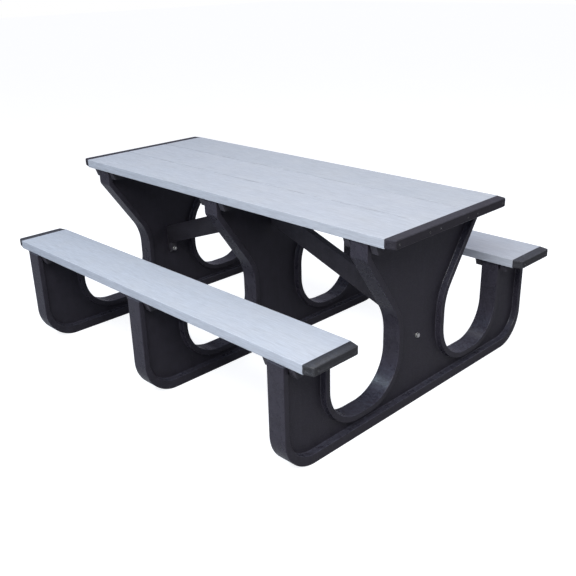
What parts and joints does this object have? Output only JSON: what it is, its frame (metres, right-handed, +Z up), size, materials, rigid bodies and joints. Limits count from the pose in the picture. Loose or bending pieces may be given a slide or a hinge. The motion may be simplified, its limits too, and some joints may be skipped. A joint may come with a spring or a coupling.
{
  "type": "picnic table",
  "caption": "Outdoor picnic table with a plank top and two attached plank benches on moulded hourglass frames, tied by sloping braces.",
  "frame": {"origin": "on the floor, under the middle of the table", "axes": "+X along the planks, +Y from the front seat to the back seat, +Z up"},
  "size_m": [1.83, 1.454, 0.75],
  "materials": {
    "grey_plank_plastic": "pale blue-grey recycled plastic plank with an embossed wood grain",
    "black_frame_plastic": "black moulded recycled plastic with a slight sheen on its rims",
    "black_bar_plastic": "black extruded recycled plastic bar",
    "black_cap_plastic": "black speckled recycled plastic with bevelled edges",
    "zinc_plated_steel": "bright zinc plate",
    "stainless_steel": "dulled stainless steel"
  },
  "bodies": {
    "root": {"back_seat_end_cap_left": "black_cap_plastic", "back_seat_end_cap_right": "black_cap_plastic", "back_seat_plank": "grey_plank_plastic", "batten_bolt_nuts": "zinc_plated_steel", "batten_bolt_washers": "zinc_plated_steel", "batten_bolts": "zinc_plated_steel", "brace_bolt_nuts": "zinc_plated_steel", "brace_bolt_washers": "zinc_plated_steel", "brace_foot_block_left": "black_bar_plastic", "brace_foot_block_right": "black_bar_plastic", "brace_foot_bolts": "zinc_plated_steel", "brace_head_block_left": "black_bar_plastic", "brace_head_block_right": "black_bar_plastic", "brace_head_bolt": "zinc_plated_steel", "brace_left": "black_bar_plastic", "brace_right": "black_bar_plastic", "brace_screws": "zinc_plated_steel", "front_seat_end_cap_left": "black_cap_plastic", "front_seat_end_cap_right": "black_cap_plastic", "front_seat_plank": "grey_plank_plastic", "left_frame": "black_frame_plastic", "left_frame_back_seat_batten_left": "black_bar_plastic", "left_frame_back_seat_batten_right": "black_bar_plastic", "left_frame_front_seat_batten_left": "black_bar_plastic", "left_frame_front_seat_batten_right": "black_bar_plastic", "left_frame_table_batten_left": "black_bar_plastic", "left_frame_table_batten_right": "black_bar_plastic", "middle_frame": "black_frame_plastic", "middle_frame_back_seat_batten_left": "black_bar_plastic", "middle_frame_back_seat_batten_right": "black_bar_plastic", "middle_frame_front_seat_batten_left": "black_bar_plastic", "middle_frame_front_seat_batten_right": "black_bar_plastic", "middle_frame_table_batten_left": "black_bar_plastic", "middle_frame_table_batten_right": "black_bar_plastic", "right_frame": "black_frame_plastic", "right_frame_back_seat_batten_left": "black_bar_plastic", "right_frame_back_seat_batten_right": "black_bar_plastic", "right_frame_front_seat_batten_left": "black_bar_plastic", "right_frame_front_seat_batten_right": "black_bar_plastic", "right_frame_table_batten_left": "black_bar_plastic", "right_frame_table_batten_right": "black_bar_plastic", "seat_cap_screws": "stainless_steel", "seat_plank_screws": "zinc_plated_steel", "table_cap_screws": "stainless_steel", "table_end_cap_left": "black_cap_plastic", "table_end_cap_right": "black_cap_plastic", "table_plank_back": "grey_plank_plastic", "table_plank_front": "grey_plank_plastic", "table_plank_middle": "grey_plank_plastic", "table_plank_screws": "zinc_plated_steel"}
  },
  "joints": []
}
